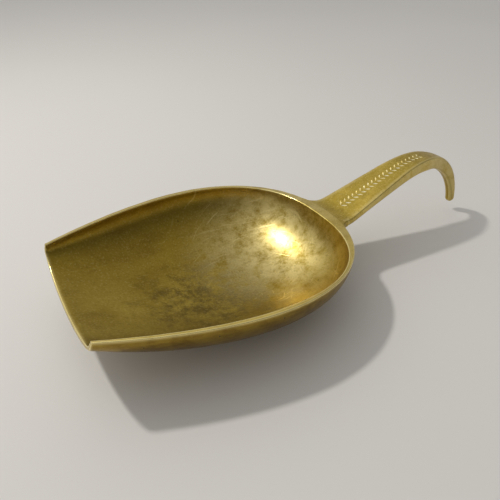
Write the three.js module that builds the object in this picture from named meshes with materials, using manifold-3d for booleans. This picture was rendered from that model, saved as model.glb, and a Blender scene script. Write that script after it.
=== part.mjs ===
// Brass scoop for dry goods: a deep U-shaped bowl with a hooked flat handle hard-soldered to its back.
// Millimetres, +Z up, +X from the mouth towards the handle, standing on the belly flat at z = 0.

import * as THREE from 'three';
import { mergeVertices } from 'three/addons/utils/BufferGeometryUtils.js';
import Module from 'manifold-3d';

const wasm = await Module();
wasm.setup();

// Bowl outline, seen from above, measured from its widest station
const BOWL_WIDTH = 70;
const BACK_LENGTH = 39.2;
const FRONT_LENGTH = 45.7;
const MOUTH_WIDTH = 45.6;
const MOUTH_BULGE = 0.8;
const CORNER_ROUND = 1.8;
const SIDE_TAPER_POWER = 1.7;
const BACK_FULLNESS = 2.2;

// Rim land: the flat top of the wall, and how full the opening inside it is at the back
const LAND_FRONT = 1.0;
const LAND_SIDE = 1.45;
const LAND_BACK = 3.6;
const OPENING_FULLNESS = 2.45;
const EDGE_EASE = 0.35;

// Bowl depths below the rim, outside, with the deepest station behind the widest one
const BOWL_DEPTH = 19.5;
const DEEPEST_OFFSET = 10.4;
const MOUTH_DEPTH = 7.8;
const KEEL_POWER = 2.2;
const KEEL_FULLNESS = 2.1;
const FLOOR_THICKNESS = 1.9;
const LIP_THICKNESS = 1.6;

// Cross-sections: 2 is an ellipse, more is squarer
const SECTION_POWER = 2.03;
const MOUTH_SECTION_POWER = 2.5;
const SECTION_BLEND = 1.5;

// How the scoop stands: the rim's back is a little lower than its mouth
const REST_TILT = 2.6;
const REST_FLAT_DEPTH = 0.25;

// Handle: a flat bar that rises from the rim, arches and turns down into a hook
const HANDLE_LENGTH = 76;
const RISE_ANGLE = 22;
const RISE_BEND = 5;
const HOOK_START = 23;
const HOOK_BEND = 60;
const HOOK_TURN = 103;
const ROOT_WIDTH = 16.4;
const SHOULDER_WIDTH = 8.4;
const SHOULDER_AT = 40;
const HOOK_WIDTH = 3.7;
const HOOK_WIDTH_AT = 58;
const TIP_WIDTH = 2.9;
const ROOT_THICKNESS = 2;
const CREST_THICKNESS = 4.5;
const CREST_AT = 51;
const TIP_THICKNESS = 2.8;
const BAR_EDGE_ROUND = 0.45;
const HOOK_EDGE_ROUND = 1.0;

// Solder joint between the flat root of the bar and the round back wall
const JOINT_CLEARANCE = 0.3;
const SOLDER_THICKNESS = 0.5;
const SOLDER_FILLET_RADIUS = 4.5;
const BAR_SIDE_CLEARANCE = 0.05;

// Faceting
const BACK_STEPS = 14;
const SIDE_STEPS = 12;
const CORNER_STEPS = 4;
const MOUTH_STEPS = 7;
const WALL_STEPS = 16;
const BAR_STEPS = 44;
const SECTION_CORNER_STEPS = 3;
const TIP_STEPS = 3;
const FILLET_STEPS = 8;
const CENTRELINE_SUBSTEPS = 8;
const JOINT_WALL_SAMPLES = 400;
const JOINT_WALL_STEPS = 10;
const JOINT_CORNER_GAP = 0.4;
const HALVINGS = 40;

// Smallest length that counts as more than nothing, and the distance under which points are one
const TINY = 1e-9;
const WELD_DISTANCE = 1e-5;

// The most of the bar's half width and thickness that its corner rounding may take
const ROUND_SHARE_WIDTH = 0.9;
const ROUND_SHARE_THICKNESS = 0.45;

const brassInside = new THREE.MeshStandardMaterial({ color: 0x9a8a3c, roughness: 0.38, metalness: 1 });
const brassHandle = new THREE.MeshStandardMaterial({ color: 0x9c8d45, roughness: 0.42, metalness: 1 });
const brassSolder = new THREE.MeshStandardMaterial({ color: 0xa39250, roughness: 0.45, metalness: 1 });

const clamp01 = (v) => Math.min(Math.max(v, 0), 1);
const power = (v, p) => Math.max(v, 0) ** p;
const smooth = (t) => t * t * (3 - 2 * t);

// A quarter of a superellipse: 1 at s = 0, falling to 0 at s = 1
const quarter = (s, fullness) => power(1 - power(s, fullness), 1 / fullness);

// One of the bowl's two skins. The inside skin is the outside one moved in by the wall.
function makeSkin(inside) {
  const back = BACK_LENGTH - (inside ? LAND_BACK : 0);
  const halfWidth = BOWL_WIDTH / 2 - (inside ? LAND_SIDE : 0);
  const halfMouth = MOUTH_WIDTH / 2 - (inside ? LAND_FRONT : 0);
  const fullness = inside ? OPENING_FULLNESS : BACK_FULLNESS;
  const deepest = BOWL_DEPTH - (inside ? FLOOR_THICKNESS : 0);
  const mouth = MOUTH_DEPTH - (inside ? LIP_THICKNESS : 0);

  const widthAt = (x) => {
    if (x > 0) return halfWidth * quarter(x / back, fullness);
    return halfWidth - (halfWidth - halfMouth) * (-x / FRONT_LENGTH) ** SIDE_TAPER_POWER;
  };
  const towardsMouth = (x) => clamp01((DEEPEST_OFFSET - x) / (DEEPEST_OFFSET + FRONT_LENGTH));
  const depthAt = (x) => {
    const s = (x - DEEPEST_OFFSET) / (back - DEEPEST_OFFSET);
    if (s > 0) return deepest * quarter(s, KEEL_FULLNESS);
    return deepest - (deepest - mouth) * towardsMouth(x) ** KEEL_POWER;
  };
  const heightAt = (x, y) => {
    const n = SECTION_POWER + (MOUTH_SECTION_POWER - SECTION_POWER) * towardsMouth(x) ** SECTION_BLEND;
    return -depthAt(x) * quarter(Math.abs(y) / Math.max(widthAt(x), TINY), n);
  };
  const mouthLine = (y) => -FRONT_LENGTH - MOUTH_BULGE * (1 - (y / halfMouth) ** 2);

  // Half of the outline from the back to the middle of the mouth, on the +Y side
  const half = [];
  for (let i = 0; i < BACK_STEPS; i++) {
    const a = (i / BACK_STEPS) * Math.PI / 2;
    half.push([back * Math.cos(a) ** (2 / fullness), halfWidth * Math.sin(a) ** (2 / fullness), 0]);
  }
  const sideEnd = CORNER_ROUND - FRONT_LENGTH;
  for (let i = 0; i < SIDE_STEPS; i++) {
    const x = sideEnd * i / SIDE_STEPS;
    half.push([x, widthAt(x), 0]);
  }
  const mouthEnd = halfMouth - CORNER_ROUND;
  const corner = new THREE.QuadraticBezierCurve(
    new THREE.Vector2(sideEnd, widthAt(sideEnd)),
    new THREE.Vector2(-FRONT_LENGTH, halfMouth),
    new THREE.Vector2(mouthLine(mouthEnd), mouthEnd),
  );
  for (let i = 0; i < CORNER_STEPS; i++) {
    const p = corner.getPoint(i / CORNER_STEPS);
    half.push([p.x, p.y, i === 0 ? 0 : heightAt(p.x, p.y)]);
  }
  for (let i = 0; i <= MOUTH_STEPS; i++) {
    const y = mouthEnd * (1 - i / MOUTH_STEPS);
    half.push([mouthLine(y), y, heightAt(mouthLine(y), y)]);
  }
  const mirrored = half.slice(1, -1).reverse().map(([x, y, z]) => [x, -y, z]);
  const outline = [...half, ...mirrored].map((p) => new THREE.Vector3(...p));
  return { outline, heightAt };
}

// The skin's profile from the bottom of the bowl out to one point of its outline
class WallProfile extends THREE.Curve {
  constructor(skin, edge) {
    super();
    this.skin = skin;
    this.edge = edge;
  }

  getPoint(t) {
    const reach = Math.sin(t * Math.PI / 2);
    const x = DEEPEST_OFFSET + (this.edge.x - DEEPEST_OFFSET) * reach;
    const y = this.edge.y * reach;
    return t === 1 ? this.edge.clone() : new THREE.Vector3(x, y, this.skin.heightAt(x, y));
  }
}

// Rings of points on a skin, from beside its lowest point out to just short of its edge
function skinRings(skin) {
  const profiles = skin.outline.map((edge) => new WallProfile(skin, edge));
  const rings = [];
  for (let k = 1; k <= WALL_STEPS; k++) {
    rings.push(profiles.map((p) => p.getPointAt((k / WALL_STEPS) * (1 - EDGE_EASE / p.getLength()))));
  }
  const bottom = new THREE.Vector3(DEEPEST_OFFSET, 0, skin.heightAt(DEEPEST_OFFSET, 0));
  return { rings, bottom };
}

// A closed body from a stack of rings with the same number of points and a point at either end
function closedLoft(first, rings, last) {
  const count = rings[0].length;
  const points = [first, ...rings.flat(), last];
  const index = [];
  const at = (ring, i) => 1 + ring * count + (i % count);
  for (let i = 0; i < count; i++) {
    index.push(0, at(0, i + 1), at(0, i));
    for (let r = 0; r + 1 < rings.length; r++) {
      index.push(at(r, i), at(r, i + 1), at(r + 1, i + 1));
      index.push(at(r, i), at(r + 1, i + 1), at(r + 1, i));
    }
    index.push(at(rings.length - 1, i), at(rings.length - 1, i + 1), points.length - 1);
  }
  const geometry = new THREE.BufferGeometry().setFromPoints(points);
  geometry.setIndex(index);
  return geometry;
}

function makeBowl() {
  const outer = makeSkin(false);
  const inner = makeSkin(true);
  const outside = skinRings(outer);
  const inside = skinRings(inner);
  const eased = (from, to) => from.map((p, i) => {
    const step = Math.min(EDGE_EASE, p.distanceTo(to[i]) / 3);
    return p.clone().add(to[i].clone().sub(p).setLength(step));
  });
  const land = [eased(outer.outline, inner.outline), eased(inner.outline, outer.outline)];
  return closedLoft(outside.bottom, [...outside.rings, ...land, ...inside.rings.reverse()], inside.bottom);
}

// Sizes along the bar, each between two named stations
const between = (s, s0, s1, v0, v1) => v0 + (v1 - v0) * smooth(clamp01((s - s0) / (s1 - s0)));

function barHalfWidth(s) {
  const taper = (ROOT_WIDTH - SHOULDER_WIDTH) / SHOULDER_AT;
  const bar = ROOT_WIDTH - taper * s;
  const alongHook = clamp01((s - HOOK_WIDTH_AT) / (HANDLE_LENGTH - HOOK_WIDTH_AT));
  const hook = HOOK_WIDTH + (TIP_WIDTH - HOOK_WIDTH) * alongHook;
  const drawnIn = smooth(clamp01((s - SHOULDER_AT) / (HOOK_WIDTH_AT - SHOULDER_AT)));
  return (bar * (1 - drawnIn) + hook * drawnIn) / 2;
}

function barThickness(s) {
  if (s < CREST_AT) return between(s, 0, CREST_AT, ROOT_THICKNESS, CREST_THICKNESS);
  return between(s, CREST_AT, HANDLE_LENGTH, CREST_THICKNESS, TIP_THICKNESS);
}

const barHeading = (s) => THREE.MathUtils.degToRad(
  RISE_ANGLE * smooth(clamp01(s / RISE_BEND)) - HOOK_TURN * smooth(clamp01((s - HOOK_START) / HOOK_BEND)),
);

const rootFace = BACK_LENGTH + JOINT_CLEARANCE + SOLDER_THICKNESS;

// The bar's section: a rectangle with rounded corners, from its top centre, at a point and heading
function barSection(top, heading, halfWidth, thickness, round) {
  const r = Math.min(round, halfWidth * ROUND_SHARE_WIDTH, thickness * ROUND_SHARE_THICKNESS);
  const ring = [];
  for (let corner = 0; corner < 4; corner++) {
    const side = corner === 0 || corner === 3 ? 1 : -1;
    const centreY = side * (halfWidth - r);
    const centreDown = corner < 2 ? r : thickness - r;
    for (let i = 0; i < SECTION_CORNER_STEPS; i++) {
      const a = (corner + i / (SECTION_CORNER_STEPS - 1)) * Math.PI / 2;
      const y = centreY + r * Math.cos(a);
      const down = centreDown - r * Math.sin(a);
      ring.push(new THREE.Vector3(top.x + down * Math.sin(heading), y, top.z - down * Math.cos(heading)));
    }
  }
  return ring;
}

const centreOf = (ring) => {
  const sum = ring.reduce((total, p) => total.add(p), new THREE.Vector3());
  return sum.divideScalar(ring.length);
};

function makeHandle() {
  const rings = [];
  const top = new THREE.Vector3(rootFace, 0, 0);
  const step = HANDLE_LENGTH / BAR_STEPS;
  const substep = step / CENTRELINE_SUBSTEPS;
  for (let i = 0; i <= BAR_STEPS; i++) {
    const s = i * step;
    const round = between(s, SHOULDER_AT, HOOK_WIDTH_AT, BAR_EDGE_ROUND, HOOK_EDGE_ROUND);
    rings.push(barSection(top, barHeading(s), barHalfWidth(s), barThickness(s), round));
    for (let k = 0; k < CENTRELINE_SUBSTEPS && i < BAR_STEPS; k++) {
      const heading = barHeading(s + (k + 0.5) * substep);
      top.x += Math.cos(heading) * substep;
      top.z += Math.sin(heading) * substep;
    }
  }
  const end = rings[rings.length - 1];
  const endCentre = centreOf(end);
  const heading = barHeading(HANDLE_LENGTH);
  const forward = new THREE.Vector3(Math.cos(heading), 0, Math.sin(heading));
  for (let k = 1; k <= TIP_STEPS; k++) {
    const a = (k / (TIP_STEPS + 1)) * Math.PI / 2;
    const shift = forward.clone().multiplyScalar(Math.sin(a) * TIP_WIDTH / 2);
    rings.push(end.map((p) => endCentre.clone().lerp(p, Math.cos(a)).add(shift)));
  }
  const apex = endCentre.clone().addScaledVector(forward, TIP_WIDTH / 2);
  return closedLoft(centreOf(rings[0]), rings, apex);
}

// The solder: a thin web behind the bar's flat end and a hollow fillet on each side of the bar
function makeSolder() {
  const outline = makeSkin(false).outline;
  const count = outline.length;
  const grown = outline.map((p, i) => {
    const along = outline[(i + 1) % count].clone().sub(outline[(i + count - 1) % count]);
    const out = new THREE.Vector2(along.y, -along.x).normalize().multiplyScalar(JOINT_CLEARANCE);
    return new THREE.Vector2(p.x + out.x, p.y + out.y);
  });
  const backWall = grown.slice(0, BACK_STEPS);
  const wall = new THREE.SplineCurve(backWall);
  const wallPoints = wall.getSpacedPoints(JOINT_WALL_SAMPLES);

  const taper = (ROOT_WIDTH - SHOULDER_WIDTH) / 2 / SHOULDER_AT;
  const sideY = (x) => ROOT_WIDTH / 2 + BAR_SIDE_CLEARANCE - taper * (x - rootFace);
  const slant = Math.hypot(1, taper);
  const nearest = (c) => wallPoints.reduce((best, p) => (p.distanceTo(c) < best.distanceTo(c) ? p : best));

  // The fillet's centre is one radius from the bar's side and one radius from the wall
  let low = rootFace - SOLDER_FILLET_RADIUS;
  let high = rootFace + 2 * SOLDER_FILLET_RADIUS;
  const centreAt = (x) => new THREE.Vector2(x, sideY(x) + SOLDER_FILLET_RADIUS * slant);
  for (let i = 0; i < HALVINGS; i++) {
    const mid = (low + high) / 2;
    const c = centreAt(mid);
    if (nearest(c).distanceTo(c) < SOLDER_FILLET_RADIUS) low = mid;
    else high = mid;
  }
  const centre = centreAt(high);
  const onWall = nearest(centre);
  const start = Math.atan2(-1, -taper);
  const towardsWall = Math.atan2(onWall.y - centre.y, onWall.x - centre.x);
  const end = towardsWall > 0 ? towardsWall - 2 * Math.PI : towardsWall;

  const half = [new THREE.Vector2(rootFace, sideY(rootFace))];
  for (let i = 0; i <= FILLET_STEPS; i++) {
    const a = start + (end - start) * i / FILLET_STEPS;
    half.push(new THREE.Vector2(
      centre.x + SOLDER_FILLET_RADIUS * Math.cos(a),
      centre.y + SOLDER_FILLET_RADIUS * Math.sin(a),
    ));
  }
  const wallPart = wallPoints.filter((p) => p.y < onWall.y - JOINT_CORNER_GAP);
  const every = Math.ceil(wallPart.length / JOINT_WALL_STEPS);
  for (let i = wallPart.length - 1; i > 0; i -= every) half.push(wallPart[i]);
  const otherHalf = half.map((p) => new THREE.Vector2(p.x, -p.y)).reverse();
  const shape = new THREE.Shape([...half, wallPoints[0], ...otherHalf]);
  const solder = new THREE.ExtrudeGeometry(shape, { depth: ROOT_THICKNESS, bevelEnabled: false });
  solder.translate(0, 0, -ROOT_THICKNESS);
  return solder;
}

function toManifold(geometry) {
  const bare = new THREE.BufferGeometry();
  bare.setAttribute('position', geometry.getAttribute('position'));
  bare.setIndex(geometry.getIndex());
  const merged = mergeVertices(bare, WELD_DISTANCE);
  return new wasm.Manifold(new wasm.Mesh({
    numProp: 3,
    vertProperties: new Float32Array(merged.getAttribute('position').array),
    triVerts: new Uint32Array(merged.getIndex().array),
  }));
}

function toGeometry(manifold) {
  const mesh = manifold.getMesh();
  const geometry = new THREE.BufferGeometry();
  geometry.setAttribute('position', new THREE.BufferAttribute(new Float32Array(mesh.vertProperties), 3));
  geometry.setIndex(new THREE.BufferAttribute(new Uint32Array(mesh.triVerts), 1));
  return geometry;
}

// Standing pose: tilt everything about Y, drop the belly to the table and file its small flat
const pieces = { bowl: makeBowl(), handle: makeHandle(), solder_joint: makeSolder() };
const tilt = THREE.MathUtils.degToRad(REST_TILT);
for (const geometry of Object.values(pieces)) geometry.rotateY(tilt);
pieces.bowl.computeBoundingBox();
const drop = -pieces.bowl.boundingBox.min.z - REST_FLAT_DEPTH;
for (const geometry of Object.values(pieces)) geometry.translate(0, 0, drop);
const belowTable = new THREE.BoxGeometry(BOWL_WIDTH * 2, BOWL_WIDTH * 2, BOWL_DEPTH);
belowTable.translate(0, 0, -BOWL_DEPTH / 2);
pieces.bowl = toGeometry(toManifold(pieces.bowl).subtract(toManifold(belowTable)));

// The frame's origin is on the table under the middle of the whole scoop
const whole = new THREE.Box3();
for (const geometry of Object.values(pieces)) {
  geometry.computeBoundingBox();
  whole.union(geometry.boundingBox);
}
const middle = (whole.min.x + whole.max.x) / 2;

const scoop = new THREE.Group();
const materials = { bowl: brassInside, handle: brassHandle, solder_joint: brassSolder };
for (const [name, geometry] of Object.entries(pieces)) {
  geometry.translate(-middle, 0, 0);
  geometry.computeVertexNormals();
  const mesh = new THREE.Mesh(geometry, materials[name]);
  mesh.name = name;
  scoop.add(mesh);
}

export default scoop;
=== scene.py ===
# Looks of a small brass scoop: aged brass bowl, hooked flat handle and its solder joint.
# Metres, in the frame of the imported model. Shapes are worked out in the rim's own frame
# (rim plane at z = 0, x = 0 at the widest station) and then tilted into the standing pose.

import math
from types import SimpleNamespace

import bmesh
import bpy
import numpy as np
from mathutils import Matrix, Vector, noise


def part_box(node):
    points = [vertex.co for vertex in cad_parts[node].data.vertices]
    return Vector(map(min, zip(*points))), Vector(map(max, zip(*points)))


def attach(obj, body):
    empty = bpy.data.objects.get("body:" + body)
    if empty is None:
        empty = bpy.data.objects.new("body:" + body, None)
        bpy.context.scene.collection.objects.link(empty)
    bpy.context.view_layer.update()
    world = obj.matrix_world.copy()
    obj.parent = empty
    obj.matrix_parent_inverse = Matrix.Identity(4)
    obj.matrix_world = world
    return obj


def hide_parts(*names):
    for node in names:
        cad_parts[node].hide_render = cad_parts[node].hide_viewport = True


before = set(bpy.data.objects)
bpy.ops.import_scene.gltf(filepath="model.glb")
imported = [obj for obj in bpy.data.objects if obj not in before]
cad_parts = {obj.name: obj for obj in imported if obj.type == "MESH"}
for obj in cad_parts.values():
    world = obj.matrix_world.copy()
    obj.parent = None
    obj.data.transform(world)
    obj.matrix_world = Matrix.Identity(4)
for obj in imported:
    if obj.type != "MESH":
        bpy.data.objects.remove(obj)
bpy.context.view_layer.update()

MM = 0.001

# Bowl outline, seen from above, measured from its widest station
BOWL_WIDTH = 70 * MM
BACK_LENGTH = 39.2 * MM
FRONT_LENGTH = 45.7 * MM
MOUTH_WIDTH = 45.6 * MM
MOUTH_BULGE = 0.8 * MM
CORNER_ROUND = 0.5 * MM
SIDE_TAPER_POWER = 1.7
BACK_FULLNESS = 2.2

# Rim land, and the opening inside it. On a narrow land the ease takes one part in EASE_PARTS.
LAND_FRONT = 1.0 * MM
LAND_SIDE = 1.45 * MM
LAND_BACK = 3.6 * MM
OPENING_FULLNESS = 2.45
EDGE_EASE = 0.35 * MM
LEAST_EASE = 0.01 * MM
EASE_PARTS = 3

# Bowl depths below the rim, and its sections
BOWL_DEPTH = 19.5 * MM
DEEPEST_OFFSET = 10.4 * MM
MOUTH_DEPTH = 7.8 * MM
KEEL_POWER = 2.2
KEEL_FULLNESS = 2.1
FLOOR_THICKNESS = 1.9 * MM
LIP_THICKNESS = 1.6 * MM
SECTION_POWER = 2.03
MOUTH_SECTION_POWER = 2.5
SECTION_BLEND = 1.5
REST_TILT = math.radians(2.6)

# Handle
HANDLE_LENGTH = 76 * MM
RISE_ANGLE = math.radians(22)
RISE_BEND = 5 * MM
HOOK_START = 23 * MM
HOOK_BEND = 60 * MM
HOOK_TURN = math.radians(103)
ROOT_WIDTH = 16.4 * MM
SHOULDER_WIDTH = 8.4 * MM
SHOULDER_AT = 40 * MM
HOOK_WIDTH = 3.7 * MM
HOOK_WIDTH_AT = 58 * MM
TIP_WIDTH = 2.9 * MM
ROOT_THICKNESS = 2 * MM
CREST_THICKNESS = 4.5 * MM
CREST_AT = 51 * MM
TIP_THICKNESS = 2.8 * MM
BAR_EDGE_ROUND = 0.45 * MM
HOOK_EDGE_ROUND = 1.0 * MM
ROUND_SHARE_WIDTH = 0.9
ROUND_SHARE_THICKNESS = 0.45

# Solder joint: the seam's width behind the bowl and its hollow fillets. It lies a hair below
# the faces beside it and laps into the bowl and the bar. The rim runs on flush over a reach
# that is given, with its fade, in shares of the fillet's radius.
JOINT_CLEARANCE = 0.3 * MM
SOLDER_THICKNESS = 0.5 * MM
SOLDER_FILLET_RADIUS = 4.5 * MM
ROOT_FACE = BACK_LENGTH + JOINT_CLEARANCE + SOLDER_THICKNESS
SEAM_SINK = 0.012 * MM
SEAM_LAP = 0.15 * MM
JOINT_REACH = 0.74
JOINT_FADE = 0.15

# Mesh density
BACK_STEPS = 60
SIDE_STEPS = 44
CORNER_STEPS = 10
MOUTH_STEPS = 26
WALL_STEPS = 60
WALL_SAMPLES = 6 * WALL_STEPS
EASE_STEPS = 4
LAND_RINGS = (0.06, 0.5, 0.94)
BAR_STEPS = 230
SECTION_CORNER_STEPS = 6
TOP_STRIPS = 8
TIP_STEPS = 8
FILLET_STEPS = 28
JOINT_WALL_SPLITS = 12
JOINT_WALL_STRIDE = 6
HALVINGS = 40
TINY = 1e-9

# Edges sharper than this are kept sharp: on the lofted pieces, and on the engraved handle
SMOOTH_ANGLE = math.radians(38)
CUT_SMOOTH_ANGLE = math.radians(30)

# Hand-worn unevenness of the metal, as geometry
WALL_WAVE = 0.045 * MM
WALL_WAVE_SIZE = 9 * MM
WALL_WAVE_SEED = 3.1
EDGE_WAVE = 0.05 * MM
EDGE_WAVE_SIZE = 2.6 * MM
EDGE_WAVE_SEED = 9.4
BAR_WAVE = WALL_WAVE / 2
BAR_WAVE_SEED = 5.2
BAR_EDGE_WAVE_SIZE = 2 * EDGE_WAVE_SIZE
BAR_EDGE_WAVE_SEED = 7.7
BAR_WAVE_START = 3 * MM
SEED_DIRECTION = (1.0, 1.7, 2.3)

# How rubbed the metal is, from 0 to 1
WORN_OUTER_EDGE = 0.9
WORN_INNER_EDGE = 1.0
WORN_LAND = 0.35
WORN_BESIDE_EDGE = 0.5
WORN_SHARE_AT_JOINT = 0.25
WORN_BAR_EDGE = 0.8
WORN_TIP = 0.7
WORN_SOLDER = 0.25


def clamp01(v):
    return min(max(v, 0.0), 1.0)


def smooth(t):
    t = clamp01(t)
    return t * t * (3 - 2 * t)


def quarter(s, fullness):
    """A quarter of a superellipse: 1 at s = 0, falling to 0 at s = 1."""
    return max(1 - max(s, 0.0) ** fullness, 0.0) ** (1 / fullness)


def rounded(start, corner, end, t):
    """The point at t on the curve that rounds a corner between two points."""
    return start * (1 - t) ** 2 + corner * 2 * t * (1 - t) + end * t * t


class Skin:
    """One of the bowl's two skins. The inside one is the outside one moved in by the wall."""

    def __init__(self, inside):
        self.back = BACK_LENGTH - (LAND_BACK if inside else 0)
        self.half_width = BOWL_WIDTH / 2 - (LAND_SIDE if inside else 0)
        self.half_mouth = MOUTH_WIDTH / 2 - (LAND_FRONT if inside else 0)
        self.fullness = OPENING_FULLNESS if inside else BACK_FULLNESS
        self.deepest = BOWL_DEPTH - (FLOOR_THICKNESS if inside else 0)
        self.mouth = MOUTH_DEPTH - (LIP_THICKNESS if inside else 0)
        self.outline = self.make_outline()

    def width_at(self, x):
        if x > 0:
            return self.half_width * quarter(x / self.back, self.fullness)
        taper = (-x / FRONT_LENGTH) ** SIDE_TAPER_POWER
        return self.half_width - (self.half_width - self.half_mouth) * taper

    def towards_mouth(self, x):
        return clamp01((DEEPEST_OFFSET - x) / (DEEPEST_OFFSET + FRONT_LENGTH))

    def depth_at(self, x):
        s = (x - DEEPEST_OFFSET) / (self.back - DEEPEST_OFFSET)
        if s > 0:
            return self.deepest * quarter(s, KEEL_FULLNESS)
        rise = self.towards_mouth(x) ** KEEL_POWER
        return self.deepest - (self.deepest - self.mouth) * rise

    def height_at(self, x, y):
        blend = self.towards_mouth(x) ** SECTION_BLEND
        n = SECTION_POWER + (MOUTH_SECTION_POWER - SECTION_POWER) * blend
        return -self.depth_at(x) * quarter(abs(y) / max(self.width_at(x), TINY), n)

    def mouth_line(self, y):
        return -FRONT_LENGTH - MOUTH_BULGE * (1 - (y / self.half_mouth) ** 2)

    def make_outline(self):
        """The skin's edge, all the way round from the middle of the back."""
        half = []
        for i in range(BACK_STEPS):
            a = i / BACK_STEPS * math.pi / 2
            x = self.back * math.cos(a) ** (2 / self.fullness)
            y = self.half_width * math.sin(a) ** (2 / self.fullness)
            half.append(Vector((x, y, 0)))
        side_end = CORNER_ROUND - FRONT_LENGTH
        for i in range(SIDE_STEPS):
            x = side_end * i / SIDE_STEPS
            half.append(Vector((x, self.width_at(x), 0)))
        mouth_end = self.half_mouth - CORNER_ROUND
        start = Vector((side_end, self.width_at(side_end)))
        tip = Vector((-FRONT_LENGTH, self.half_mouth))
        end = Vector((self.mouth_line(mouth_end), mouth_end))
        for i in range(CORNER_STEPS):
            p = rounded(start, tip, end, i / CORNER_STEPS)
            half.append(Vector((p.x, p.y, self.height_at(p.x, p.y) if i else 0)))
        for i in range(MOUTH_STEPS + 1):
            y = mouth_end * (1 - i / MOUTH_STEPS)
            x = self.mouth_line(y)
            half.append(Vector((x, y, self.height_at(x, y))))
        other = [Vector((p.x, -p.y, p.z)) for p in reversed(half[1:-1])]
        return half + other

    def wall_rings(self, ease):
        """Rings of points from beside the lowest point to just short of the edge, evenly spaced."""
        samples = np.linspace(0, 1, WALL_SAMPLES + 1)
        reach = np.sin(samples * math.pi / 2)
        columns = []
        for edge, short in zip(self.outline, ease):
            xs = DEEPEST_OFFSET + (edge.x - DEEPEST_OFFSET) * reach
            ys = edge.y * reach
            zs = np.array([self.height_at(x, y) for x, y in zip(xs, ys)])
            zs[-1] = edge.z
            steps = np.sqrt(np.diff(xs) ** 2 + np.diff(ys) ** 2 + np.diff(zs) ** 2)
            run = np.concatenate([[0], np.cumsum(steps)])
            stops = np.arange(1, WALL_STEPS + 1) / WALL_STEPS * (run[-1] - short)
            columns.append([np.interp(stops, run, v) for v in (xs, ys, zs)])
        return [[Vector((c[0][k], c[1][k], c[2][k])) for c in columns] for k in range(WALL_STEPS)]

    def bottom(self):
        return Vector((DEEPEST_OFFSET, 0, self.height_at(DEEPEST_OFFSET, 0)))


def at_joint(p):
    """1 where the handle is soldered on and the rim runs on flush into it, 0 elsewhere."""
    reach = ROOT_WIDTH / 2 + JOINT_REACH * SOLDER_FILLET_RADIUS
    if p.x < 0:
        return 0.0
    return smooth((reach - abs(p.y)) / (JOINT_FADE * SOLDER_FILLET_RADIUS))


def eased_corner(wall, corner, land):
    """Rings of a small round between the wall and the land, past the wall's last ring."""
    return [[rounded(w, c, l, k / EASE_STEPS) for w, c, l in zip(wall, corner, land)]
            for k in range(1, EASE_STEPS + 1)]


def wave(p, size, amount, seed):
    shift = Vector([seed * share for share in SEED_DIRECTION])
    return noise.noise(p / size + shift) * amount


def finish_shading(mesh, smooth_angle):
    mesh.polygons.foreach_set("use_smooth", [True] * len(mesh.polygons))
    mesh.set_sharp_from_angle(angle=smooth_angle)
    mesh.update()


def mesh_object(name, points, faces, materials, wear=None):
    """A mesh piece in the rim's frame, with its wear per point."""
    mesh = bpy.data.meshes.new(name)
    mesh.from_pydata([tuple(p) for p in points], [], faces)
    mesh.update()
    if wear is not None:
        mesh.attributes.new("wear", "FLOAT", "POINT").data.foreach_set("value", wear)
    obj = bpy.data.objects.new(name, mesh)
    bpy.context.scene.collection.objects.link(obj)
    for material in materials:
        mesh.materials.append(material)
    finish_shading(mesh, SMOOTH_ANGLE)
    return obj


def closed_loft(first, rings, last):
    """Points and faces of a closed body from a stack of rings and a point at either end."""
    count = len(rings[0])
    points = [first] + [p for ring in rings for p in ring] + [last]

    def at(ring, i):
        return 1 + ring * count + i % count

    faces = []
    for i in range(count):
        faces.append((0, at(0, i + 1), at(0, i)))
        for r in range(len(rings) - 1):
            faces.append((at(r, i), at(r, i + 1), at(r + 1, i + 1), at(r + 1, i)))
        faces.append((at(len(rings) - 1, i), at(len(rings) - 1, i + 1), len(points) - 1))
    return points, faces


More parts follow.
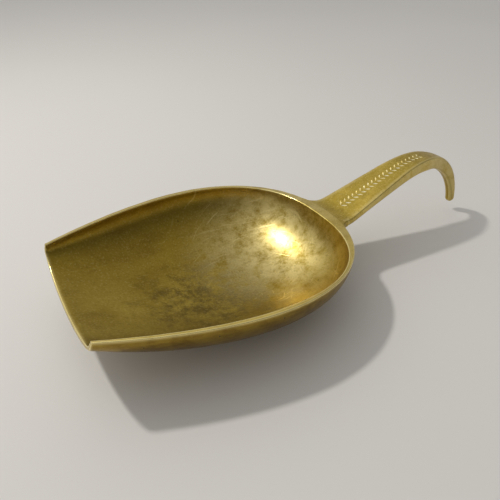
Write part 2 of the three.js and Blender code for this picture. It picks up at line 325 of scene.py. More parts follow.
def make_bowl(materials):
    """The bowl: outside skin, eased edge, land, eased edge and inside skin, in one closed body."""
    outer = Skin(False)
    inner = Skin(True)
    ease_out = [max(EDGE_EASE * (1 - at_joint(p)), LEAST_EASE) for p in outer.outline]
    ease_in = [EDGE_EASE] * len(inner.outline)
    outside = outer.wall_rings(ease_out)
    inside = inner.wall_rings(ease_in)

    def on_land(here, there, ease):
        return [a + (b - a).normalized() * min(e, (b - a).length / EASE_PARTS)
                for a, b, e in zip(here, there, ease)]

    land_out = on_land(outer.outline, inner.outline, ease_out)
    land_in = on_land(inner.outline, outer.outline, ease_in)
    round_out = eased_corner(outside[-1], outer.outline, land_out)
    round_in = eased_corner(inside[-1], inner.outline, land_in)
    land = [[a.lerp(b, share) for a, b in zip(land_out, land_in)] for share in LAND_RINGS]
    rings = outside + round_out + land + round_in[::-1] + inside[::-1]

    rim = range(WALL_STEPS, WALL_STEPS + 2 * EASE_STEPS + len(land))
    worn = [0.0] * WALL_STEPS + [WORN_OUTER_EDGE] * EASE_STEPS + [WORN_LAND] * len(land)
    worn += [WORN_INNER_EDGE] * EASE_STEPS + [0.0] * WALL_STEPS
    worn[rim.start - 1] = WORN_BESIDE_EDGE
    worn[rim.stop] = WORN_BESIDE_EDGE

    moved = []
    wear = [0.0]
    for ring, amount in zip(rings, worn):
        for p in ring:
            free = 1 - at_joint(p)
            lift = wave(p, WALL_WAVE_SIZE, WALL_WAVE, WALL_WAVE_SEED)
            edge = wave(p, EDGE_WAVE_SIZE, EDGE_WAVE, EDGE_WAVE_SEED) if amount else 0.0
            moved.append(p + Vector((0, 0, (lift + edge) * free)))
            wear.append(amount * (WORN_SHARE_AT_JOINT + (1 - WORN_SHARE_AT_JOINT) * free))
    wear.append(0.0)
    count = len(outer.outline)
    rings = [moved[k * count:(k + 1) * count] for k in range(len(rings))]
    points, faces = closed_loft(outer.bottom(), rings, inner.bottom())
    bowl = mesh_object("bowl_finish", points, faces, materials, wear)

    per_ring = {"inside": [float(k >= rim.start) for k in range(len(rings))],
                "land": [float(k in rim) for k in range(len(rings))]}
    for name, values in per_ring.items():
        spread = [values[0]] + [v for v in values for _ in range(count)] + [values[-1]]
        bowl.data.attributes.new(name, "FLOAT", "POINT").data.foreach_set("value", spread)
    return bowl


def between(s, s0, s1, v0, v1):
    return v0 + (v1 - v0) * smooth((s - s0) / (s1 - s0))


def bar_half_width(s):
    bar = ROOT_WIDTH - (ROOT_WIDTH - SHOULDER_WIDTH) / SHOULDER_AT * s
    along = clamp01((s - HOOK_WIDTH_AT) / (HANDLE_LENGTH - HOOK_WIDTH_AT))
    hook = HOOK_WIDTH + (TIP_WIDTH - HOOK_WIDTH) * along
    drawn_in = smooth((s - SHOULDER_AT) / (HOOK_WIDTH_AT - SHOULDER_AT))
    return (bar * (1 - drawn_in) + hook * drawn_in) / 2


def bar_thickness(s):
    if s < CREST_AT:
        return between(s, 0, CREST_AT, ROOT_THICKNESS, CREST_THICKNESS)
    return between(s, CREST_AT, HANDLE_LENGTH, CREST_THICKNESS, TIP_THICKNESS)


def bar_heading(s):
    return RISE_ANGLE * smooth(s / RISE_BEND) - HOOK_TURN * smooth((s - HOOK_START) / HOOK_BEND)


def bar_stations():
    """Distances along the bar, and the bar's top line in the XZ plane at each."""
    s = np.linspace(0, HANDLE_LENGTH, BAR_STEPS + 1)
    mid = (s[1:] + s[:-1]) / 2
    heading = np.array([bar_heading(v) for v in mid])
    step = s[1] - s[0]
    x = ROOT_FACE + np.concatenate([[0], np.cumsum(np.cos(heading) * step)])
    z = np.concatenate([[0], np.cumsum(np.sin(heading) * step)])
    return s, x, z


def on_bar(stations, s, y, above):
    """The point at a distance along the bar, across it and above its top face."""
    distances, xs, zs = stations
    heading = bar_heading(s)
    x = np.interp(s, distances, xs) - math.sin(heading) * above
    z = np.interp(s, distances, zs) + math.cos(heading) * above
    return Vector((x, y, z))


def bar_section(half_width, thickness, round_radius):
    """The bar's section as (across, down, worn), all the way round: a softened rectangle."""
    r = min(round_radius, half_width * ROUND_SHARE_WIDTH, thickness * ROUND_SHARE_THICKNESS)
    ring = []
    for corner in range(4):
        side = 1 if corner in (0, 3) else -1
        centre = side * (half_width - r)
        down = r if corner < 2 else thickness - r
        for i in range(SECTION_CORNER_STEPS):
            a = (corner + i / (SECTION_CORNER_STEPS - 1)) * math.pi / 2
            ring.append((centre + r * math.cos(a), down - r * math.sin(a), 1.0))
        if corner in (0, 2):
            flat = half_width - r
            level = 0 if corner == 0 else thickness
            for i in range(1, TOP_STRIPS):
                y = side * flat * (1 - 2 * i / TOP_STRIPS)
                ring.append((y, level, 0.0))
    return ring


def make_handle(materials):
    """The bar with its domed tip, and the ornament cut into its top face."""
    stations = bar_stations()
    rings = []
    wear = []
    for s, x, z in zip(*stations):
        heading = bar_heading(s)
        round_radius = between(s, SHOULDER_AT, HOOK_WIDTH_AT, BAR_EDGE_ROUND, HOOK_EDGE_ROUND)
        section = bar_section(bar_half_width(s), bar_thickness(s), round_radius)
        away = smooth(s / BAR_WAVE_START)
        ring = []
        for y, down, worn in section:
            p = Vector((x + down * math.sin(heading), y, z - down * math.cos(heading)))
            p.z += wave(p, WALL_WAVE_SIZE, BAR_WAVE, BAR_WAVE_SEED) * away
            p.y += wave(p, BAR_EDGE_WAVE_SIZE, EDGE_WAVE, BAR_EDGE_WAVE_SEED) * away
            ring.append(p)
            wear.append(worn * WORN_BAR_EDGE)
        rings.append(ring)
    end = rings[-1]
    centre = sum(end, Vector()) / len(end)
    heading = bar_heading(HANDLE_LENGTH)
    forward = Vector((math.cos(heading), 0, math.sin(heading)))
    for k in range(1, TIP_STEPS + 1):
        a = k / (TIP_STEPS + 1) * math.pi / 2
        ahead = forward * math.sin(a) * TIP_WIDTH / 2
        rings.append([centre.lerp(p, math.cos(a)) + ahead for p in end])
        wear += [WORN_TIP] * len(end)
    apex = centre + forward * TIP_WIDTH / 2
    root = sum(rings[0], Vector()) / len(rings[0])
    points, faces = closed_loft(root, rings, apex)
    handle = mesh_object("handle_finish", points, faces, materials, [0.0] + wear + [WORN_TIP])
    engrave(handle, stations)
    return handle


# Bright-cut ornament on the handle: pairs of leaf cuts, smaller towards the hook
LEAF_START = 5.5 * MM
LEAF_END = 41 * MM
LEAF_PITCH = 1.7 * MM
LEAF_LENGTH = 2.1 * MM
LEAF_WIDTH = 0.62 * MM
LEAF_DEPTH = 0.24 * MM
LEAF_ANGLE = math.radians(52)
LEAF_OFFSET = 0.95 * MM
LEAF_SHRINK = 0.22

# The body that cuts a leaf: stations along it, how narrow its ends are, and how far its top
# and the edges of its V stand above the face. The cut faces take the handle's second material.
CUT_STATIONS = 7
CUT_LEAST_TAPER = 0.04
CUT_TOP = 0.3 * MM
CUT_EDGE = 0.02 * MM
CUT_SLOT = 1


def boat_cutter(stations, s, y, angle, length, width, depth, points, faces):
    """One double-ended V-shaped cut in the bar's top face, added to a mesh being built."""
    first = len(points)
    for k in range(CUT_STATIONS):
        u = -1 + 2 * k / (CUT_STATIONS - 1)
        taper = max(1 - u * u, CUT_LEAST_TAPER)
        along = math.cos(angle) * u * length / 2
        across = math.sin(angle) * u * length / 2
        half = width / 2 * taper
        side_s = -math.sin(angle) * half
        side_y = math.cos(angle) * half
        section = ((-1, CUT_TOP), (1, CUT_TOP), (1, CUT_EDGE), (0, -depth * taper), (-1, CUT_EDGE))
        for sign, above in section:
            points.append(on_bar(stations, s + along + sign * side_s,
                                 y + across + sign * side_y, above))
    sides = len(section)
    for k in range(CUT_STATIONS - 1):
        a = first + sides * k
        for j in range(sides):
            n = (j + 1) % sides
            faces.append((a + j, a + n, a + sides + n, a + sides + j))
    last = first + sides * (CUT_STATIONS - 1)
    faces.append(tuple(first + j for j in reversed(range(sides))))
    faces.append(tuple(last + j for j in range(sides)))


def engrave(handle, stations):
    """Cut the row of leaf pairs out of the handle's mesh."""
    points = []
    faces = []
    count = int((LEAF_END - LEAF_START) / LEAF_PITCH) + 1
    for i in range(count):
        s = LEAF_START + i * LEAF_PITCH
        size = 1 - LEAF_SHRINK * i / count
        for side in (-1, 1):
            boat_cutter(stations, s, side * LEAF_OFFSET * size, side * LEAF_ANGLE,
                        LEAF_LENGTH * size, LEAF_WIDTH * size, LEAF_DEPTH, points, faces)
    cutter = mesh_object("cutter", points, faces, list(handle.data.materials))
    shell = bmesh.new()
    shell.from_mesh(cutter.data)
    bmesh.ops.recalc_face_normals(shell, faces=shell.faces)
    shell.to_mesh(cutter.data)
    shell.free()
    cutter.data.polygons.foreach_set("material_index", [CUT_SLOT] * len(cutter.data.polygons))
    cut = handle.modifiers.new("cut", "BOOLEAN")
    cut.operation = "DIFFERENCE"
    cut.solver = "EXACT"
    cut.object = cutter
    graph = bpy.context.evaluated_depsgraph_get()
    result = bpy.data.meshes.new_from_object(handle.evaluated_get(graph))
    handle.modifiers.remove(cut)
    handle.data = result
    bpy.data.objects.remove(cutter)
    finish_shading(result, CUT_SMOOTH_ANGLE)


def joint_outline(outer):
    """One side of the joint from above, as (point, way in): root corner, fillet and bowl wall."""
    wall = [p.to_2d() for p in outer.outline[:BACK_STEPS]]
    fine = [a.lerp(b, t / JOINT_WALL_SPLITS)
            for a, b in zip(wall, wall[1:]) for t in range(JOINT_WALL_SPLITS)]
    taper = (ROOT_WIDTH - SHOULDER_WIDTH) / 2 / SHOULDER_AT
    slant = math.hypot(1, taper)

    def centre_at(x):
        return Vector((x, ROOT_WIDTH / 2 - taper * (x - ROOT_FACE) + SOLDER_FILLET_RADIUS * slant))

    def nearest(c):
        return min(fine, key=lambda p: (p - c).length)

    low = ROOT_FACE - SOLDER_FILLET_RADIUS
    high = ROOT_FACE + 2 * SOLDER_FILLET_RADIUS
    for _ in range(HALVINGS):
        mid = (low + high) / 2
        if (nearest(centre_at(mid)) - centre_at(mid)).length < SOLDER_FILLET_RADIUS:
            low = mid
        else:
            high = mid
    centre = centre_at(high)
    on_wall = nearest(centre)
    start = math.atan2(-1, -taper)
    end = math.atan2(on_wall.y - centre.y, on_wall.x - centre.x)
    if end > 0:
        end -= 2 * math.pi
    arc = []
    for i in range(FILLET_STEPS + 1):
        a = start + (end - start) * i / FILLET_STEPS
        way = Vector((math.cos(a), math.sin(a)))
        arc.append((centre + way * SOLDER_FILLET_RADIUS, way))
    lap = Vector((SEAM_LAP, 0))
    along = [(p - lap, Vector((0, 0))) for p in reversed(fine) if p.y < on_wall.y]
    root = [(Vector((ROOT_FACE + SEAM_LAP, ROOT_WIDTH / 2)), arc[0][1])]
    return root + arc + along[::JOINT_WALL_STRIDE]


def make_solder(materials):
    """The joint's outline built up to a rounded top that follows the bar's rise."""
    half = joint_outline(Skin(False))
    other = [(Vector((p.x, -p.y)), Vector((n.x, -n.y))) for p, n in reversed(half)]
    ring = half + other
    levels = [(0.0, -ROOT_THICKNESS)]
    for k in range(EASE_STEPS + 1):
        a = k / EASE_STEPS * math.pi / 2
        levels.append((BAR_EDGE_ROUND * (1 - math.cos(a)),
                       -SEAM_SINK - BAR_EDGE_ROUND * (1 - math.sin(a))))
    _, bar_x, bar_z = bar_stations()
    rise = [float(np.interp(p.x, bar_x, bar_z)) for p, _ in ring]
    points = []
    for into, z in levels:
        points += [Vector((p.x + n.x * into, p.y + n.y * into, z + up))
                   for (p, n), up in zip(ring, rise)]
    count = len(ring)
    faces = [tuple(reversed(range(count)))]
    for k in range(len(levels) - 1):
        for i in range(count):
            n = (i + 1) % count
            faces.append((k * count + i, k * count + n, (k + 1) * count + n, (k + 1) * count + i))
    faces.append(tuple(range((len(levels) - 1) * count, len(levels) * count)))
    return mesh_object("solder_finish", points, faces, materials, [WORN_SOLDER] * len(points))


# Sockets of the mix node, which has a set for numbers and a set for colours
MIX_SHARE = 0
MIX_NUMBERS = (2, 3)
MIX_NUMBER_RESULT = 0
MIX_COLOURS = (6, 7)
MIX_COLOUR_RESULT = 2


class Nodes:
    """A new material, with short names for the shader nodes that it is mixed from."""

    def __init__(self, name):
        self.material = bpy.data.materials.new(name)
        self.material.use_nodes = True
        self.tree = self.material.node_tree
        self.tree.nodes.clear()
        self.place = self.add("ShaderNodeTexCoord").outputs["Object"]

    def add(self, kind, **settings):
        node = self.tree.nodes.new(kind)
        for name, value in settings.items():
            setattr(node, name, value)
        return node

    def feed(self, socket, value):
        if isinstance(value, bpy.types.NodeSocket):
            self.tree.links.new(value, socket)
        else:
            socket.default_value = value

    def math(self, operation, a, b=0.0, c=0.0):
        node = self.add("ShaderNodeMath", operation=operation)
        for socket, value in zip(node.inputs, (a, b, c)):
            self.feed(socket, value)
        return node.outputs[0]

    def noise(self, vector, size, detail=3.0, roughness=0.55, distortion=0.0):
        node = self.add("ShaderNodeTexNoise")
        self.feed(node.inputs["Vector"], vector)
        node.inputs["Scale"].default_value = 1 / size
        node.inputs["Detail"].default_value = detail
        node.inputs["Roughness"].default_value = roughness
        node.inputs["Distortion"].default_value = distortion
        return node.outputs["Fac"]

    def step(self, value, low, high):
        """0 below low, 1 above high, smooth between."""
        node = self.add("ShaderNodeMapRange", interpolation_type="SMOOTHSTEP")
        self.feed(node.inputs["Value"], value)
        node.inputs["From Min"].default_value = low
        node.inputs["From Max"].default_value = high
        return node.outputs["Result"]

    def fade(self, value, full, none):
        """1 below full, 0 above none, smooth between."""
        return self.math("SUBTRACT", 1.0, self.step(value, full, none))

    def times(self, *values):
        result = values[0]
        for value in values[1:]:
            result = self.math("MULTIPLY", result, value)
        return result

    def mix(self, share, a, b):
        node = self.add("ShaderNodeMix", data_type="RGBA")
        self.feed(node.inputs[MIX_SHARE], share)
        for socket, colour in zip(MIX_COLOURS, (a, b)):
            linked = isinstance(colour, bpy.types.NodeSocket)
            self.feed(node.inputs[socket], colour if linked else (*colour, 1))
        return node.outputs[MIX_COLOUR_RESULT]

    def attribute(self, name):
        return self.add("ShaderNodeAttribute", attribute_name=name).outputs["Fac"]

    def scaled(self, vector, factors, shift):
        node = self.add("ShaderNodeMapping")
        self.feed(node.inputs["Vector"], vector)
        node.inputs["Location"].default_value = shift
        node.inputs["Scale"].default_value = factors
        return node.outputs["Vector"]

    def far_from(self, centre, stretch=(1, 1, 1)):
        """Distance from a point, in metres, with each axis weighted."""
        away = self.add("ShaderNodeVectorMath", operation="SUBTRACT")
        self.feed(away.inputs[0], self.place)
        away.inputs[1].default_value = centre
        weighed = self.add("ShaderNodeVectorMath", operation="MULTIPLY")
        self.feed(weighed.inputs[0], away.outputs[0])
        weighed.inputs[1].default_value = stretch
        length = self.add("ShaderNodeVectorMath", operation="LENGTH")
        self.feed(length.inputs[0], weighed.outputs[0])
        return length.outputs["Value"]

    def axis(self, index):
        split = self.add("ShaderNodeSeparateXYZ")
        self.feed(split.inputs[0], self.place)
        return split.outputs[index]

    def bump(self, height, distance, strength, normal=None):
        node = self.add("ShaderNodeBump")
        node.inputs["Strength"].default_value = strength
        node.inputs["Distance"].default_value = distance
        self.feed(node.inputs["Height"], height)
        if normal is not None:
            self.feed(node.inputs["Normal"], normal)
        return node.outputs["Normal"]

    def finish(self, colour, roughness, normal=None, metallic=1.0):
        shader = self.add("ShaderNodeBsdfPrincipled")
        shader.inputs["Metallic"].default_value = metallic
        self.feed(shader.inputs["Base Color"], colour)
        self.feed(shader.inputs["Roughness"], roughness)
        if normal is not None:
            self.feed(shader.inputs["Normal"], normal)
        output = self.add("ShaderNodeOutputMaterial")
        self.tree.links.new(shader.outputs[0], output.inputs["Surface"])
        return self.material


# Colours of the metal, in linear light
BRASS = (0.60, 0.44, 0.082)
BRASS_OLIVE = (0.45, 0.325, 0.05)
BRASS_DULL = (0.34, 0.235, 0.029)
BRASS_BRIGHT = (0.92, 0.78, 0.36)
# Freshly cut brass, paled towards white as a painted highlight
CUT_BRIGHT_AND_HIGHLIGHT = (0.98, 0.92, 0.66)
# Patina brown, also laid on the far wall as painted shade
PATINA_AND_SHADE = (0.21, 0.13, 0.014)
STAIN = (0.12, 0.083, 0.02)
# Outside of the bowl: tarnish browns darkened as painted shade and painted dark reflection
SHADED_OUTSIDE = (0.20, 0.115, 0.018)
SHADED_OUTSIDE_PALE = (0.33, 0.215, 0.036)
PIT = (0.04, 0.028, 0.012)

# Places on the object that the wear and the painted highlight glow are centred on, in the standing
# frame
STAIN_CENTRE = (-0.029, -0.003, 0.004)
HIGHLIGHT_GLOW_CENTRE = (-0.004, 0.006, 0.006)
SWIRL_CENTRES = ((-0.0165, 0.0), (-0.012, 0.009), (-0.022, -0.008))

# Patterns that the metals share. A noise is (size, detail, roughness, distortion), where the
# last ones may be left out. A span is the two values between which something comes in.
SCRATCH_WOBBLE_NOISE = (12 * MM, 2.0)
SCRATCH_WOBBLE = 2.5 * MM
SCRATCH_TURNS = 1.6
SCRATCH_NOISE = (1.0, 1.0, 0.4)
SCRATCH_SPAN = (0.67, 0.78)
BRUSH_NOISE = (1.0, 2.0, 0.5)
PIT_SPAN = (0.03, 0.07)

# The bowl's finish. Names in _x and _y are spans of the place on that axis, _share is how far
# a layer covers, _roughness is what it adds, _bump is (height, strength), brush is (width,
# length, seed) and pits is (spacing, share of the places that have a pit).
BOWL_LOOK = SimpleNamespace(
    broad=(16 * MM, 4.0, 0.6),
    mottle=(4.6 * MM, 8.0, 0.72),
    grain=(0.6 * MM, 2.0),
    base_span=(0.35, 0.68),
    streaks=(1.0, 8.0, 0.7), streak_scale=(60, 170, 170), streak_shift=(1.3, 4.1, 0),
    cloud_span=(0.48, 0.66), cloud_x=(-12 * MM, 6 * MM), cloud_share=0.42,
    shaded_far_wall_y=(-4 * MM, 24 * MM), shaded_far_wall_span=(0.25, 0.7), shaded_far_wall_share=0.75,
    stain_stretch=(0.7, 1.1, 0.6), stain_ragged=-26 * MM, stain_reach=(-6 * MM, 12 * MM),
    stain_span=(0.36, 0.62), stain_share=0.8,
    glow_reach=(6 * MM, 36 * MM), glow_span=(0.3, 0.6), glow_share=0.6,
    brush=(0.7 * MM, 50 * MM, 2.2),
    shaded_tarnish_span=(0.34, 0.62), shaded_tarnish_brush_span=(0.5, 0.66), shaded_tarnish_brush_share=0.35,
    shaded_tarnish_share=0.9,
    swirl_fineness=(0.6 * MM, 0.5 * MM, 0.8 * MM), swirl_seed=3.7,
    swirl_x=(-45 * MM, -8 * MM), swirl_share=0.3,
    mouth_x=(-50 * MM, -20 * MM), mouth_lines_span=(0.56, 0.7), mouth_lines_share=0.12,
    glint_span=(0.52, 0.72), glint_share=0.12,
    speck_span=(0.28, 0.46), speck_share=0.3,
    pits=(4.2 * MM, 0.14),
    rubbed_wear=(0.05, 0.95), rubbed_span=(0.15, 0.5), rubbed_share=0.75,
    roughness=0.27, mottle_roughness=0.16, stain_roughness=0.12, rubbed_roughness=-0.1,
    grain_bump=(0.02 * MM, 0.35), swirl_bump=(0.03 * MM, 0.5), brush_bump=(0.03 * MM, 0.35),
    pit_bump=(-0.15 * MM, 0.7))

# The handle's and the solder's finish
HANDLE_LOOK = SimpleNamespace(
    broad=(12 * MM, 4.0, 0.6),
    mottle=(3.2 * MM, 6.0, 0.65, 0.5),
    grain=(0.5 * MM, 3.0),
    base_span=(0.35, 0.68),
    mottle_span=(0.5, 0.68), mottle_share=0.3,
    glint_span=(0.52, 0.7), glint_share=0.26,
    speck_span=(0.3, 0.47), speck_share=0.35,
    hook_x=(36 * MM, 68 * MM), hook_span=(0.2, 0.55), hook_share=0.5,
    pits=(3.5 * MM, 0.25), pit_share=0.8,
    rubbed_wear=(0.1, 0.8), rubbed_span=(0.25, 0.6), rubbed_share=0.4,
    roughness=0.32, mottle_roughness=0.16, rubbed_roughness=-0.08,
    brush=(0.4 * MM, 10 * MM, 6.1),
    grain_bump=(0.02 * MM, 0.45), brush_bump=(0.02 * MM, 0.3), pit_bump=(-0.1 * MM, 0.7))

# The ornament's polished facets, partly paled towards white as a painted highlight
CUT_LOOK = SimpleNamespace(
    tone=(0.9 * MM, 2.0), tone_span=(0.35, 0.7),
    roughness=0.3, tone_roughness=0.2,
    grain=(0.4 * MM, 1.0), grain_bump=(0.01 * MM, 0.3))

# The studio floor
FLOOR_HALF = 3.0
FLOOR_CORNERS = ((-1, -1), (1, -1), (1, 1), (-1, 1))
FLOOR_TONE = (0.3, 2.0)
FLOOR_DARK = (0.70, 0.685, 0.66)
FLOOR_PALE = (0.76, 0.745, 0.72)
FLOOR_ROUGHNESS = 0.7


def scratches_round(n, centre, fineness, seed):
    """Fine curved scratches round a point in plan: 1 on a scratch."""
    x = n.math("SUBTRACT", n.axis(0), centre[0])
    y = n.math("SUBTRACT", n.axis(1), centre[1])
    wobble = n.noise(n.scaled(n.place, (1, 1, 1), (seed, 0, 0)), *SCRATCH_WOBBLE_NOISE)
    radius = n.math("POWER", n.math("ADD", n.times(x, x), n.times(y, y)), 0.5)
    radius = n.math("MULTIPLY_ADD", wobble, SCRATCH_WOBBLE, radius)
    angle = n.math("ARCTAN2", y, x)
    joined = n.add("ShaderNodeCombineXYZ")
    n.feed(joined.inputs[0], n.math("DIVIDE", radius, fineness))
    n.feed(joined.inputs[1], n.math("MULTIPLY", angle, SCRATCH_TURNS))
    joined.inputs[2].default_value = seed
    return n.step(n.noise(joined.outputs[0], *SCRATCH_NOISE), *SCRATCH_SPAN)


def brush_lines(n, across, along, seed):
    """Lengthwise brush lines of a width and length."""
    place = n.scaled(n.place, (1 / along, 1 / across, 1 / across), (seed, seed, 0))
    return n.noise(place, *BRUSH_NOISE)


def scattered_pits(n, spacing, share):
    """Small scattered pits: 1 inside a pit."""
    cells = n.add("ShaderNodeTexVoronoi")
    n.feed(cells.inputs["Vector"], n.place)
    cells.inputs["Scale"].default_value = 1 / spacing
    near = n.fade(cells.outputs["Distance"], *PIT_SPAN)
    tint = n.add("ShaderNodeSeparateColor")
    n.feed(tint.inputs[0], cells.outputs["Color"])
    chosen = n.math("LESS_THAN", tint.outputs[0], share)
    return n.times(near, chosen)


def brass_bowl():
    """Aged brass, stained mid-bowl, with painted shade and a painted dark reflection browning the
    far wall and the outside, and a painted highlight glow at the back.
    """
    n = Nodes("brass_bowl")
    look = BOWL_LOOK
    inside = n.attribute("inside")
    wear = n.attribute("wear")
    broad = n.noise(n.place, *look.broad)
    mottle = n.noise(n.place, *look.mottle)
    grain = n.noise(n.place, *look.grain)

    # The old surface: base tones, paler rim, brown clouds, the far wall browned as painted shade, a
    # stain, and a painted highlight glow
    colour = n.mix(n.step(broad, *look.base_span), BRASS_DULL, BRASS_OLIVE)
    rim = n.mix(n.step(broad, *look.base_span), BRASS_OLIVE, BRASS)
    colour = n.mix(n.attribute("land"), colour, rim)
    streaks = n.noise(n.scaled(n.place, look.streak_scale, look.streak_shift), *look.streaks)
    cloud = n.times(n.step(streaks, *look.cloud_span), n.fade(n.axis(0), *look.cloud_x),
                    inside, look.cloud_share)
    colour = n.mix(cloud, colour, PATINA_AND_SHADE)
    # The far inner wall browned: painted shade and a painted dark reflection
    shaded_far_wall = n.times(n.step(n.axis(1), *look.shaded_far_wall_y), n.step(broad, *look.shaded_far_wall_span),
                       look.shaded_far_wall_share)
    colour = n.mix(shaded_far_wall, colour, PATINA_AND_SHADE)
    stain_edge = n.math("MULTIPLY_ADD", mottle, look.stain_ragged,
                        n.far_from(STAIN_CENTRE, look.stain_stretch))
    stain = n.times(n.fade(stain_edge, *look.stain_reach), n.step(mottle, *look.stain_span),
                    look.stain_share)
    colour = n.mix(stain, colour, STAIN)
    # A painted highlight glow of bright brass round the lamp's reflection at the back of the bowl
    highlight_glow = n.times(n.fade(n.far_from(HIGHLIGHT_GLOW_CENTRE), *look.glow_reach), look.glow_share)
    colour = n.mix(n.times(highlight_glow, n.step(mottle, *look.glow_span)), colour, BRASS_BRIGHT)

    # The outside: tarnish, painted darker as painted shade and a painted dark reflection
    brush = brush_lines(n, *look.brush)
    shaded_tarnish = n.mix(n.step(mottle, *look.shaded_tarnish_span), SHADED_OUTSIDE, SHADED_OUTSIDE_PALE)
    brushed = n.times(n.step(brush, *look.shaded_tarnish_brush_span), look.shaded_tarnish_brush_share)
    shaded_tarnish = n.mix(brushed, shaded_tarnish, BRASS_OLIVE)
    outside = n.math("SUBTRACT", 1.0, inside)
    colour = n.mix(n.times(outside, look.shaded_tarnish_share), colour, shaded_tarnish)

    # Use: scratches, brush lines at the mouth, grain, pits and rubbed edges
    rounds = [scratches_round(n, centre, fineness, look.swirl_seed + i)
              for i, (centre, fineness) in enumerate(zip(SWIRL_CENTRES, look.swirl_fineness))]
    swirls = n.math("MAXIMUM", n.math("MAXIMUM", rounds[0], rounds[1]), rounds[2])
    swirls = n.times(swirls, n.step(n.axis(0), *look.swirl_x), inside)
    at_mouth = n.times(n.fade(n.axis(0), *look.mouth_x), inside)
    lines = n.times(n.step(brush, *look.mouth_lines_span), at_mouth)
    colour = n.mix(n.times(swirls, look.swirl_share), colour, BRASS_BRIGHT)
    colour = n.mix(n.times(lines, look.mouth_lines_share), colour, BRASS_OLIVE)
    glint = n.times(n.step(grain, *look.glint_span), inside, look.glint_share)
    colour = n.mix(glint, colour, BRASS_BRIGHT)
    speck = n.times(n.fade(grain, *look.speck_span), inside, look.speck_share)
    colour = n.mix(speck, colour, STAIN)
    hole = scattered_pits(n, *look.pits)
    colour = n.mix(hole, colour, PIT)
    rubbed = n.times(n.step(wear, *look.rubbed_wear), n.step(mottle, *look.rubbed_span))
    colour = n.mix(n.times(rubbed, look.rubbed_share), colour, BRASS_BRIGHT)

    roughness = n.math("MULTIPLY_ADD", mottle, look.mottle_roughness, look.roughness)
    roughness = n.math("MULTIPLY_ADD", stain, look.stain_roughness, roughness)
    roughness = n.math("MULTIPLY_ADD", rubbed, look.rubbed_roughness, roughness)
    normal = n.bump(grain, *look.grain_bump)
    normal = n.bump(swirls, *look.swirl_bump, normal)
    normal = n.bump(brush, *look.brush_bump, normal)
    normal = n.bump(hole, *look.pit_bump, normal)
    return n.finish(colour, roughness, normal)


def brass_handle():
    """Dull aged brass with small pits, browner at the hook and paler along its rubbed edges."""
    n = Nodes("brass_handle")
    look = HANDLE_LOOK
    wear = n.attribute("wear")
    broad = n.noise(n.place, *look.broad)
    mottle = n.noise(n.place, *look.mottle)
    grain = n.noise(n.place, *look.grain)

    colour = n.mix(n.step(broad, *look.base_span), BRASS_OLIVE, BRASS)
    colour = n.mix(n.times(n.step(mottle, *look.mottle_span), look.mottle_share), colour, PATINA_AND_SHADE)
    glint = n.times(n.step(grain, *look.glint_span), look.glint_share)
    colour = n.mix(glint, colour, BRASS_BRIGHT)
    colour = n.mix(n.times(n.fade(grain, *look.speck_span), look.speck_share), colour, PATINA_AND_SHADE)
    hook_end = n.times(n.step(n.axis(0), *look.hook_x), n.step(mottle, *look.hook_span),
                       look.hook_share)
    colour = n.mix(hook_end, colour, PATINA_AND_SHADE)
    hole = scattered_pits(n, *look.pits)
    colour = n.mix(n.times(hole, look.pit_share), colour, PIT)
    rubbed = n.times(n.step(wear, *look.rubbed_wear), n.step(mottle, *look.rubbed_span))
    colour = n.mix(n.times(rubbed, look.rubbed_share), colour, BRASS_BRIGHT)

    roughness = n.math("MULTIPLY_ADD", mottle, look.mottle_roughness, look.roughness)
    roughness = n.math("MULTIPLY_ADD", rubbed, look.rubbed_roughness, roughness)
    brush = brush_lines(n, *look.brush)
    normal = n.bump(grain, *look.grain_bump)
    normal = n.bump(brush, *look.brush_bump, normal)
    normal = n.bump(hole, *look.pit_bump, normal)
    return n.finish(colour, roughness, normal)


def brass_cut():
    """The polished facets of the bright-cut ornament, partly paled towards white as a painted
    highlight.
    """
    n = Nodes("brass_cut")
    look = CUT_LOOK
    tone = n.noise(n.place, *look.tone)
    colour = n.mix(n.step(tone, *look.tone_span), CUT_BRIGHT_AND_HIGHLIGHT, BRASS_BRIGHT)
    roughness = n.math("MULTIPLY_ADD", tone, look.tone_roughness, look.roughness)
    normal = n.bump(n.noise(n.place, *look.grain), *look.grain_bump)
    return n.finish(colour, roughness, normal)


def floor_material():
    """A plain pale studio floor with a faint unevenness."""
    n = Nodes("pale_floor")
    tone = n.noise(n.place, *FLOOR_TONE)
    return n.finish(n.mix(tone, FLOOR_DARK, FLOOR_PALE), FLOOR_ROUGHNESS, metallic=0.0)


# Camera: the lens and the place of the photograph's view, held close above the mouth
CAMERA_PLACE = Vector((-0.0834, -0.110, 0.1028))
CAMERA_YAW = math.radians(30.65)
CAMERA_PITCH = math.radians(35.0)
CAMERA_ROLL = math.radians(0.44)
CAMERA_LENS = 36.4
CAMERA_SENSOR = 36
CAMERA_CLIP = 0.005


def make_camera():
    camera = bpy.data.cameras.new("camera")
    camera.sensor_width = CAMERA_SENSOR
    camera.lens = CAMERA_LENS
    camera.clip_start = CAMERA_CLIP
    forward = Vector((math.sin(CAMERA_YAW) * math.cos(CAMERA_PITCH),
                      math.cos(CAMERA_YAW) * math.cos(CAMERA_PITCH), -math.sin(CAMERA_PITCH)))
    level = Vector((math.cos(CAMERA_YAW), -math.sin(CAMERA_YAW), 0))
    down = forward.cross(level)
    right = level * math.cos(CAMERA_ROLL) + down * math.sin(CAMERA_ROLL)
    down = forward.cross(right)
    turn = Matrix((right, -down, -forward)).transposed().to_4x4()
    obj = bpy.data.objects.new("camera", camera)
    obj.matrix_world = Matrix.Translation(CAMERA_PLACE) @ turn
    bpy.context.scene.collection.objects.link(obj)
    bpy.context.scene.camera = obj


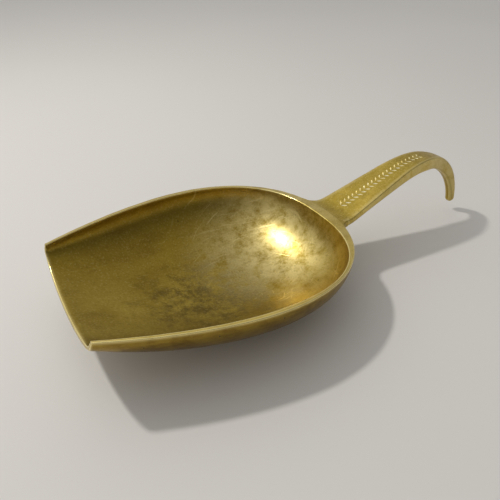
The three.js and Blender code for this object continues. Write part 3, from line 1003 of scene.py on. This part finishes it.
# Studio light: one small key lamp, a pale backdrop round the horizon, and a soft sky that is
# brighter behind and to the left. Spans are of the direction's dot product and of its rise.
KEY_PLACE = Vector((-0.194, 0.211, 0.416))
KEY_TARGET = Vector((-0.01, 0, 0.01))
KEY_SIZE = 0.034
KEY_WATTS = 0.95
KEY_COLOUR = (1.0, 0.97, 0.92)
BACKDROP = 0.62
BACKDROP_SPAN = (0.1, 0.34)
SKY_DARK = 0.10
SKY_BRIGHT = 0.74
SKY_SPAN = (-0.6, 0.9)
SKY_TINT = (1.0, 0.985, 0.96)
BRIGHT_SIDE = (-0.5, 0.72, 0.5)


def make_key_lamp():
    data = bpy.data.lights.new("key", "AREA")
    data.shape = "DISK"
    data.size = KEY_SIZE
    data.energy = KEY_WATTS
    data.color = KEY_COLOUR
    obj = bpy.data.objects.new("key", data)
    obj.location = KEY_PLACE
    obj.rotation_euler = (KEY_TARGET - KEY_PLACE).to_track_quat("-Z", "Y").to_euler()
    bpy.context.scene.collection.objects.link(obj)


def make_sky():
    world = bpy.data.worlds.new("studio")
    bpy.context.scene.world = world
    world.use_nodes = True
    tree = world.node_tree
    background = tree.nodes["Background"]
    direction = tree.nodes.new("ShaderNodeTexCoord")

    turned = tree.nodes.new("ShaderNodeVectorMath")
    turned.operation = "DOT_PRODUCT"
    turned.inputs[1].default_value = Vector(BRIGHT_SIDE).normalized()
    tree.links.new(direction.outputs["Generated"], turned.inputs[0])
    ramp = tree.nodes.new("ShaderNodeMapRange")
    ramp.inputs["From Min"].default_value, ramp.inputs["From Max"].default_value = SKY_SPAN
    ramp.inputs["To Min"].default_value = SKY_DARK
    ramp.inputs["To Max"].default_value = SKY_BRIGHT
    tree.links.new(turned.outputs["Value"], ramp.inputs["Value"])

    split = tree.nodes.new("ShaderNodeSeparateXYZ")
    tree.links.new(direction.outputs["Generated"], split.inputs[0])
    rise = tree.nodes.new("ShaderNodeMapRange")
    rise.interpolation_type = "SMOOTHSTEP"
    rise.inputs["From Min"].default_value, rise.inputs["From Max"].default_value = BACKDROP_SPAN
    tree.links.new(split.outputs["Z"], rise.inputs["Value"])

    sky = tree.nodes.new("ShaderNodeMix")
    backdrop_socket, sky_socket = MIX_NUMBERS
    tree.links.new(rise.outputs["Result"], sky.inputs[MIX_SHARE])
    sky.inputs[backdrop_socket].default_value = BACKDROP
    tree.links.new(ramp.outputs["Result"], sky.inputs[sky_socket])
    tree.links.new(sky.outputs[MIX_NUMBER_RESULT], background.inputs["Strength"])
    background.inputs["Color"].default_value = (*SKY_TINT, 1)


handle_metal = brass_handle()
bowl = make_bowl([brass_bowl()])
handle = make_handle([handle_metal, brass_cut()])
solder = make_solder([handle_metal])
pieces = (bowl, handle, solder)

# Standing pose, lined up with the top and the back of the CAD bowl
tilt = Matrix.Rotation(REST_TILT, 4, "Y")
stand = [tilt @ p for p in Skin(False).outline]
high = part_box("bowl")[1]
shift = Vector((high.x - max(p.x for p in stand), 0, high.z - max(p.z for p in stand)))
for piece in pieces:
    piece.data.transform(tilt)
    piece.data.transform(Matrix.Translation(shift))

# The small flat that it rests on: what would lie below the floor is brought up to it
for vertex in bowl.data.vertices:
    vertex.co.z = max(vertex.co.z, 0.0)

for piece, node, slot in zip(pieces, ("bowl", "handle", "solder_joint"),
                             ("brass_bowl", "brass_handle", "brass_solder")):
    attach(piece, "root")
    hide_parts(node)

floor_mesh = bpy.data.meshes.new("floor")
corners = [(x * FLOOR_HALF, y * FLOOR_HALF, 0) for x, y in FLOOR_CORNERS]
floor_mesh.from_pydata(corners, [], [tuple(range(len(corners)))])
floor_mesh.materials.append(floor_material())
floor = bpy.data.objects.new("floor", floor_mesh)
bpy.context.scene.collection.objects.link(floor)

bpy.context.scene.view_settings.view_transform = "Standard"
make_camera()
make_sky()
make_key_lamp()
